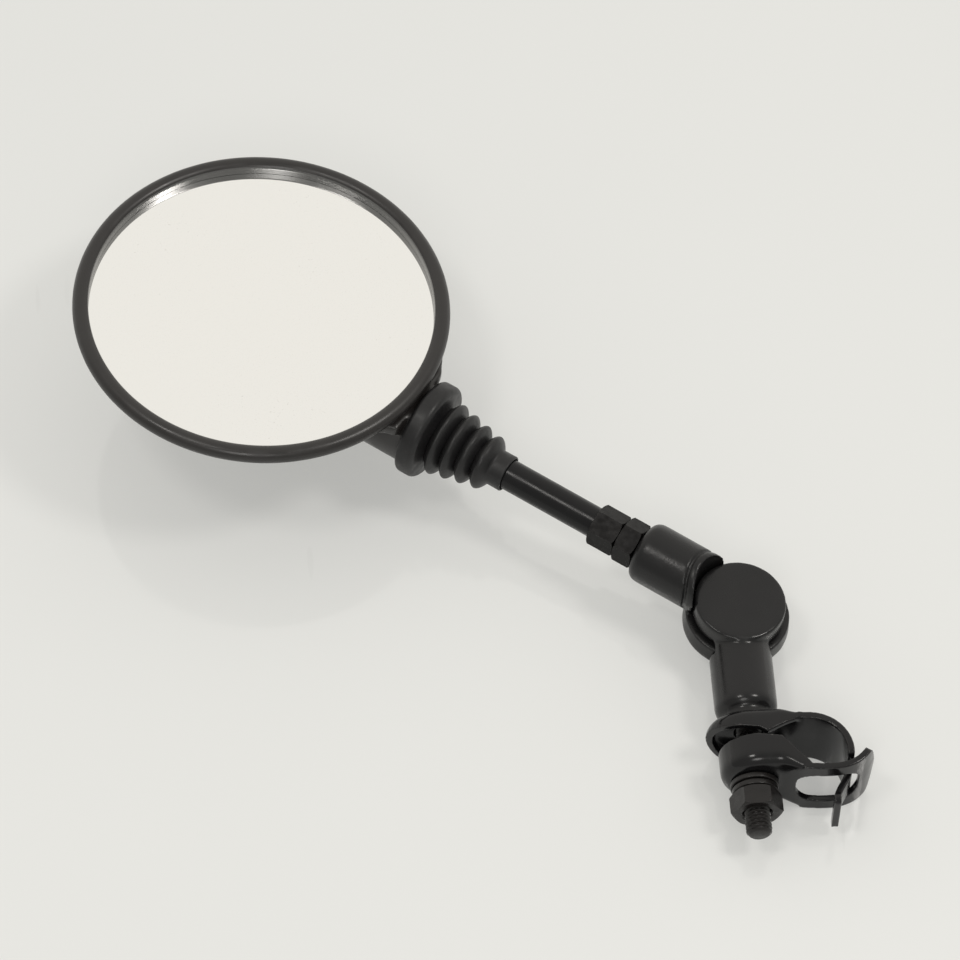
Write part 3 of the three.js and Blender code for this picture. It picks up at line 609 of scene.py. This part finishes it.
def arm():
    stands_for(softened("lower_arm_casting", "lower_arm", 0.36, 26, 5), "lower_arm")
    upper = softened("upper_arm_casting", "upper_arm", 0.36, 26, 5)
    stands_for(upper, "upper_arm", "hammered_black_casting")
    low, high = knuckle_span("knuckle_bolt")
    head_end = low + 3.6
    bolt = [
        *chamfered(low, head_end, corner_radius(10), 0, 0.7)[:-1],
        (head_end, 3.4), (head_end + 0.2, 3.0), (high - 0.6, 3.0), (high, 2.5), (high, 0),
    ]
    head = turned(
        "knuckle_bolt_hexagon", KNUCKLE, bolt, count=240, sharp_above=20,
        shape=hexagon_shape(10, 3.5),
    )
    stands_for(head, "knuckle_bolt")
    for node, bore, outer in (("knuckle_flat_washer", 3.3, 6.2), ("knuckle_friction_washer", 3.6, 12.0)):
        low, high = knuckle_span(node)
        ring = washer(node + "_turned", KNUCKLE, low, high, bore, outer, min(0.25, (high - low) * 0.3))
        stands_for(ring, node)
    low, high = knuckle_span("knuckle_spring_washer")
    stands_for(
        spring_washer("knuckle_spring_washer_coiled", KNUCKLE, low + 0.05, high - 0.05, 3.3, 5.4, 0.08),
        "knuckle_spring_washer",
    )


def knuckle_span(node):
    """Where a CAD node starts and ends along the knuckle axis, in millimetres."""
    along = [(v.co - knuckle).dot(normal) / MM for v in frame["nodes"][node].data.vertices]
    return min(along), max(along)


# Places along the stem, in millimetres.
STEM_THREAD = (20.0, 46.1)
LOCK_NUT = (36.2, 42.7)
SLEEVE = (43.05, 52.2)
ROD = (46.75, 108.0)
ROD_RADIUS = 5.0
ROD_BORE = 3.4


def stem():
    start, end = ROD
    rod = [
        (start, ROD_BORE), *[(start + i, ROD_RADIUS) for i in range(60)],
        (end - 0.4, ROD_RADIUS - 0.15), (end, ROD_RADIUS - 0.6), (end, ROD_BORE),
    ]
    stands_for(turned("stem_rod_tube", STEM, rod, closed=True), "stem_rod", "gloss_black_rod")
    lock = nut("stem_lock_nut_hexagon", STEM, LOCK_NUT, 13, STUD_BORE)
    stands_for(lock, "stem_lock_nut", "dark_black_oxide")
    start, end = SLEEVE
    outside = chamfered(start, end, corner_radius(12), 0)[1:-1]
    inside = [
        (end, 5.5), (end - 0.3, 5.3), (ROD[0] - 0.3, 5.3), (ROD[0] - 0.35, STUD_BORE),
        (start + 0.25, STUD_BORE), (start, STUD_BORE + 0.3),
    ]
    hexagon = turned(
        "stem_sleeve_hexagon", STEM, [*outside, *inside], closed=True, count=VERY_FINE,
        shape=hexagon_shape(12, 5.55), sharp_above=20,
    )
    stands_for(hexagon, "stem_hex_sleeve", "dark_black_oxide")
    low, high = STEM_THREAD
    count = int((high - low) / THREAD_STEP) - 2
    thread = [(low + 0.3 + THREAD_STEP * i, STUD_RADIUS) for i in range(count)]
    threaded = [(low, 0), (low, 3.4), *thread, (high, 3.4), (high, 0)]
    stands_for(turned("stem_stud_threaded", STEM, threaded, count=72, shape=stem_thread), "stem_stud")


def stem_thread(along, radius, angle):
    return thread_shape(THREAD_PITCH, 0.6)(along, radius, angle) if radius > 3.5 else radius


# ---- Boot -------------------------------------------------------------------------------------

RIBS = [(92.5, 9.2), (97.7, 10.2), (102.8, 11.3), (107.7, 12.3)]
CUFF = (84.6, 90.2, 6.0)
COLLAR = (111.3, 117.8, 16.0)
VALLEY_DEPTH = 3.2
RIB_BREADTH = 1.8  # above 1: the crests are broader than the valleys
WALL = 1.4
SEAM = 110.0  # the collar piece starts here


def between(a, b, along_share, radius_share):
    return a[0] + (b[0] - a[0]) * along_share, a[1] + (b[1] - a[1]) * radius_share


def rib_line():
    """Points of the folds' outside: rounded ribs with narrow valleys between them."""
    valleys = [(89.6, CUFF[2] + 0.1)]
    for (a, low), (b, high) in zip(RIBS, RIBS[1:]):
        valleys.append(((a + b) / 2, (low + high) / 2 - VALLEY_DEPTH))
    valleys.append((SEAM, RIBS[-1][1] - VALLEY_DEPTH + 0.6))
    line = []
    for left, crest, right in zip(valleys, RIBS, valleys[1:]):
        for i in range(9):
            t = i / 9
            line.append(between(left, crest, t, 1 - (1 - t) ** RIB_BREADTH))
        for i in range(9):
            t = i / 9
            line.append(between(crest, right, t, t ** RIB_BREADTH))
    line.append(valleys[-1])
    return line


def boot():
    folds = rib_line()
    cuff = [
        *arc(CUFF[0] + 0.45, CUFF[2] - 0.45, 0.5, 180, 90, 6),
        (CUFF[0] + 1.4, CUFF[2]), (CUFF[0] + 2.8, CUFF[2]), (CUFF[1] - 1.2, CUFF[2]),
    ]
    inner_folds = [(x, max(r - WALL, 5.3)) for x, r in reversed(folds)]
    inside = [*inner_folds, (CUFF[0] + 0.3, 5.3)]
    bellows = turned("boot_bellows", STEM, [*cuff, *folds, *inside], closed=True, count=128, sharp_above=60)
    collar_outside = [
        (SEAM, folds[-1][1]), (SEAM + 0.5, folds[-1][1] + 0.4), (COLLAR[0] - 0.1, COLLAR[2] - 3.2),
        *arc(COLLAR[0] + 2.0, COLLAR[2] - 2.0, 2.0, 165, 90, 8),
        *arc(COLLAR[1] - 1.6, COLLAR[2] - 1.6, 1.6, 90, 0, 8),
    ]
    collar_inside = [
        (COLLAR[1], 14.1), (COLLAR[1] - 0.3, 13.8), (113.5, 13.8), (113.5, folds[-1][1] - 0.8),
        (SEAM, folds[-1][1] - WALL),
    ]
    collar_line = [*collar_outside, *collar_inside]
    collar = turned("boot_collar", STEM, collar_line, closed=True, count=128, sharp_above=60)
    for piece, a, b, start, end in (
        (bellows, "stem", "boot_pan", 96, SEAM),
        (collar, "boot_pan", "head", SEAM, 114.5),
    ):
        dress(piece, "black_rubber")
        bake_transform(piece)
    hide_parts("boot")


# ---- Head -------------------------------------------------------------------------------------

BEAD = (15.56, 57.3, 2.75)  # middle of the round part of the bezel, and its size
WALL_RADIUS = 54.98  # the straight wall inside the bezel
GLASS = (12.4, 14.2, 56.2)  # back, front and radius


def head():
    stands_for(softened("head_shell", "head_housing", 0.5, 30, 14), "head_housing")
    bezel = turned("bezel_ring", FACE, bezel_profile(), closed=True, count=VERY_FINE)
    stands_for(bezel, "mirror_bezel")
    bezel.data.materials.append(materials["polished_black_plastic"])
    to_face = FACE.inverted()
    for polygon in bezel.data.polygons:
        middle = to_face @ polygon.center
        if middle.x > 14 * MM and math.hypot(middle.y, middle.z) < (WALL_RADIUS + 0.17) * MM:
            polygon.material_index = 1
    back, front, edge = GLASS
    glass = [
        (back, 0), (back, edge - 0.3), (back + 0.3, edge), (front - 0.3, edge),
        (front, edge - 0.3), (front, 0),
    ]
    stands_for(turned("mirror_disc", FACE, glass, count=VERY_FINE), "mirror_glass")


def bezel_profile():
    """A round bead with a straight wall down to the glass inside and a skirt over the housing."""
    bead = arc(BEAD[0], BEAD[1], BEAD[2], -54, 125, 40)
    wall = [(16.7 - 0.3 * i, WALL_RADIUS) for i in range(9)]
    skirt = [(12.4, 56.6), (12.4, 57.9), (12.6, 58.1)]
    return [*skirt, *reversed(bead), *wall, (14.28, 55.1), (14.28, 56.5)]


# ---- Stage ------------------------------------------------------------------------------------

def stage():
    low = cad_box[0].z
    size = 6.0
    mesh = bpy.data.meshes.new("table")
    work = bmesh.new()
    bmesh.ops.create_grid(work, x_segments=24, y_segments=24, size=size)
    work.to_mesh(mesh)
    work.free()
    table = add_object("table", mesh)
    table.location = (0, 0, low)
    mesh.materials.append(table_top())


def lamp(name, direction, distance, size, power, colour):
    """A round soft lamp that shines at the object."""
    target = (cad_box[0] + cad_box[1]) / 2
    light = bpy.data.lights.new(name, "AREA")
    light.shape = "DISK"
    light.size = size
    light.energy = power
    light.color = colour
    obj = bpy.data.objects.new(name, light)
    away = Vector(direction).normalized()
    obj.location = target + away * distance
    obj.rotation_mode = "QUATERNION"
    obj.rotation_quaternion = away.to_track_quat("Z", "Y")
    bpy.context.scene.collection.objects.link(obj)


def lights():
    """Small lamps overhead and in front, in a pale room that is brighter behind the mirror."""
    lamp("lamp_left", (-0.34, -0.13, 0.92), 1.5, 0.32, 3.4, (1.0, 0.97, 0.93))
    lamp("lamp_right", (0.53, -0.10, 0.84), 1.5, 0.32, 5.2, (1.0, 0.97, 0.93))
    lamp("lamp_front", (-0.10, -0.68, 0.71), 1.5, 0.45, 3.0, (1.0, 0.98, 0.95))
    world = bpy.data.worlds.new("room")
    world.use_nodes = True
    nodes, links = world.node_tree.nodes, world.node_tree.links
    place = nodes.new("ShaderNodeTexCoord")
    split = nodes.new("ShaderNodeSeparateXYZ")
    blend = nodes.new("ShaderNodeMapRange")
    blend.interpolation_type = "SMOOTHSTEP"
    blend.inputs["From Min"].default_value = -0.25
    blend.inputs["From Max"].default_value = 0.55
    shade = nodes.new("ShaderNodeMix")
    shade.data_type = "RGBA"
    shade.inputs[6].default_value = (0.5, 0.5, 0.475, 1)
    shade.inputs[7].default_value = (0.9, 0.88, 0.83, 1)
    links.new(place.outputs["Generated"], split.inputs[0])
    links.new(split.outputs["Y"], blend.inputs["Value"])
    links.new(blend.outputs["Result"], shade.inputs["Factor"])
    links.new(shade.outputs[2], nodes["Background"].inputs["Color"])
    nodes["Background"].inputs["Strength"].default_value = 1.0
    bpy.context.scene.world = world


def camera():
    """Stands above and in front of the clamp, looking down at the mirror."""
    data = bpy.data.cameras.new("camera")
    data.lens = 150
    data.sensor_width = 36
    obj = bpy.data.objects.new("camera", data)
    look = Vector((0.0318, 0.5613, -0.827)).normalized()
    right = Vector((0.9984, -0.0565, 0)).normalized()
    up = right.cross(look)
    obj.matrix_world = Matrix((right, up, -look)).transposed().to_4x4()
    obj.location = (-0.1342, -0.6047, 1.0561)
    data.clip_start = 0.05
    bpy.context.scene.collection.objects.link(obj)
    bpy.context.scene.camera = obj


for node, obj in frame["nodes"].items():
    smooth(obj.data)
    dress(obj, slots[node])
clamp()
arm()
stem()
boot()
head()
stage()
lights()
camera()
bpy.context.scene.view_settings.view_transform = "Standard"
